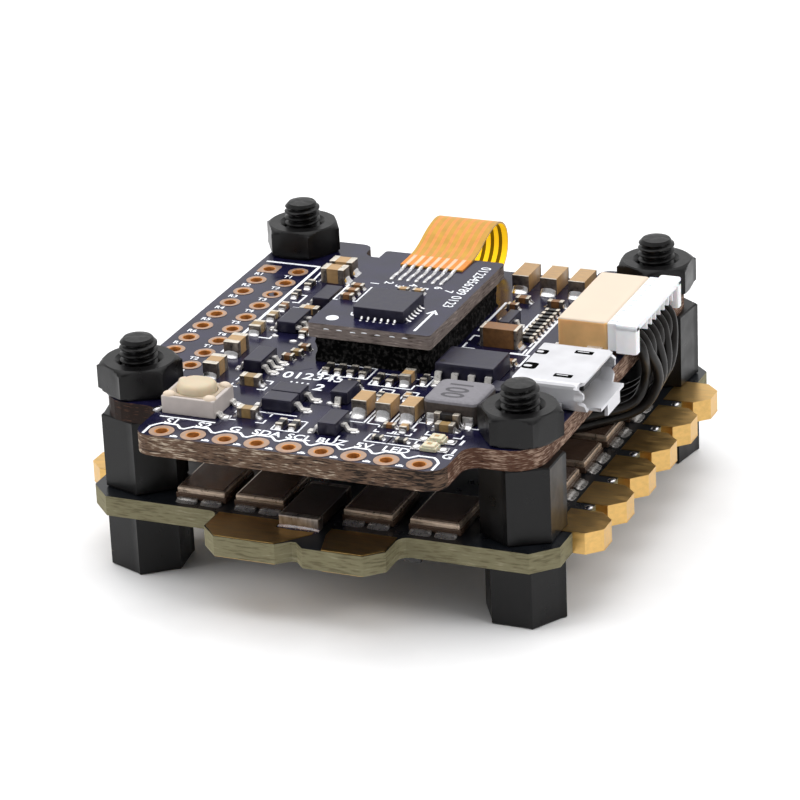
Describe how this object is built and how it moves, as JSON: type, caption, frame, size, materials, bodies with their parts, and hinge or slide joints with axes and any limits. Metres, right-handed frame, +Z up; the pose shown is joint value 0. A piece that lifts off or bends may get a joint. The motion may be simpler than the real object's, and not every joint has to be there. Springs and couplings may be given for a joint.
{
  "type": "flight controller stack",
  "caption": "Square two-board multirotor controller stack on nylon standoffs, with a foam-mounted gyro board, USB socket, boot button and wire harness.",
  "frame": {"origin": "Middle of the footprint on the plane of the standoff feet. The 30.5 mm hole pattern's centre is 2.3 mm behind it (+Y).", "axes": "+X runs right along the front pad row, towards the USB socket; +Y points to the back, where the ribbon loops; +Z is up out of the boards."},
  "size_m": [0.0416, 0.042, 0.0188],
  "materials": {
    "fc_solder_mask": "Dark navy solder mask over glass-fibre board, satin gloss",
    "esc_solder_mask": "Black solder mask over olive glass-fibre board, satin gloss",
    "black_nylon": "Moulded black nylon with a light sheen",
    "black_foam": "Soft open-cell black foam, matt",
    "polyimide": "Translucent amber film with dark copper tracks",
    "chip_epoxy": "Moulded dark epoxy, matt",
    "mosfet_epoxy": "Moulded brown-black epoxy, satin",
    "tinned_steel": "Bright tinned steel sheet",
    "contact_plastic": "Black high-temperature plastic, matt",
    "socket_nylon": "Beige moulded nylon",
    "plug_nylon": "White moulded nylon",
    "wire_silicone": "Black silicone insulation, satin",
    "switch_body": "Pale grey moulded plastic",
    "switch_cap": "Cream moulded plastic",
    "ferrite": "Grey moulded ferrite powder, matt",
    "ceramic": "Tan fired ceramic",
    "shunt_alloy": "Dull metal alloy with a dark coat"
  },
  "bodies": {
    "stack": {"esc_board": "esc_solder_mask", "fc_board": "fc_solder_mask", "imu_foam": "black_foam", "imu_ribbon": "polyimide", "usb_shell": "tinned_steel", "usb_tongue": "contact_plastic", "fc_socket": "socket_nylon", "fc_plug": "plug_nylon", "esc_socket": "socket_nylon", "esc_plug": "plug_nylon", "boot_button_body": "switch_body", "power_inductor": "ferrite", "regulator_chip": "chip_epoxy", "current_shunt": "shunt_alloy", "lower_standoff_front_left": "black_nylon", "upper_standoff_front_left": "black_nylon", "nut_front_left": "black_nylon", "lower_standoff_front_right": "black_nylon", "upper_standoff_front_right": "black_nylon", "nut_front_right": "black_nylon", "lower_standoff_back_right": "black_nylon", "upper_standoff_back_right": "black_nylon", "nut_back_right": "black_nylon", "lower_standoff_back_left": "black_nylon", "upper_standoff_back_left": "black_nylon", "nut_back_left": "black_nylon", "mosfet_right_1": "mosfet_epoxy", "mosfet_left_1": "mosfet_epoxy", "mosfet_front_1": "mosfet_epoxy", "mosfet_right_2": "mosfet_epoxy", "mosfet_left_2": "mosfet_epoxy", "mosfet_front_2": "mosfet_epoxy", "mosfet_right_3": "mosfet_epoxy", "mosfet_left_3": "mosfet_epoxy", "mosfet_front_3": "mosfet_epoxy", "mosfet_right_4": "mosfet_epoxy", "mosfet_left_4": "mosfet_epoxy", "mosfet_front_4": "mosfet_epoxy", "harness_wire_1": "wire_silicone", "harness_wire_2": "wire_silicone", "harness_wire_3": "wire_silicone", "harness_wire_4": "wire_silicone", "harness_wire_5": "wire_silicone", "harness_wire_6": "wire_silicone", "harness_wire_7": "wire_silicone", "harness_wire_8": "wire_silicone", "motor_side_chip_back": "chip_epoxy", "motor_side_chip_middle": "chip_epoxy", "motor_side_chip_front": "chip_epoxy", "front_logic_chip": "chip_epoxy", "capacitor_front_1": "ceramic", "capacitor_front_2": "ceramic", "capacitor_front_3": "ceramic", "capacitor_middle": "ceramic", "capacitor_back_1": "ceramic", "capacitor_back_2": "ceramic", "capacitor_back_3": "ceramic"},
    "gyro": {"imu_board": "fc_solder_mask", "imu_sensor": "chip_epoxy"},
    "button_cap": {"boot_button_cap": "switch_cap"}
  },
  "joints": [
    {"name": "boot_button_press", "type": "slide", "parent": "stack", "child": "button_cap", "axis": [0, 0, -1], "range_m": [0, 0.0003], "stiffness_N_per_m": 1500, "springref_m": -0.0006},
    {"name": "gyro_float", "type": "slide", "parent": "stack", "child": "gyro", "axis": [0, 0, -1], "range_m": [0, 0.0005], "stiffness_N_per_m": 400, "deforming": ["imu_foam", "imu_ribbon"]}
  ]
}
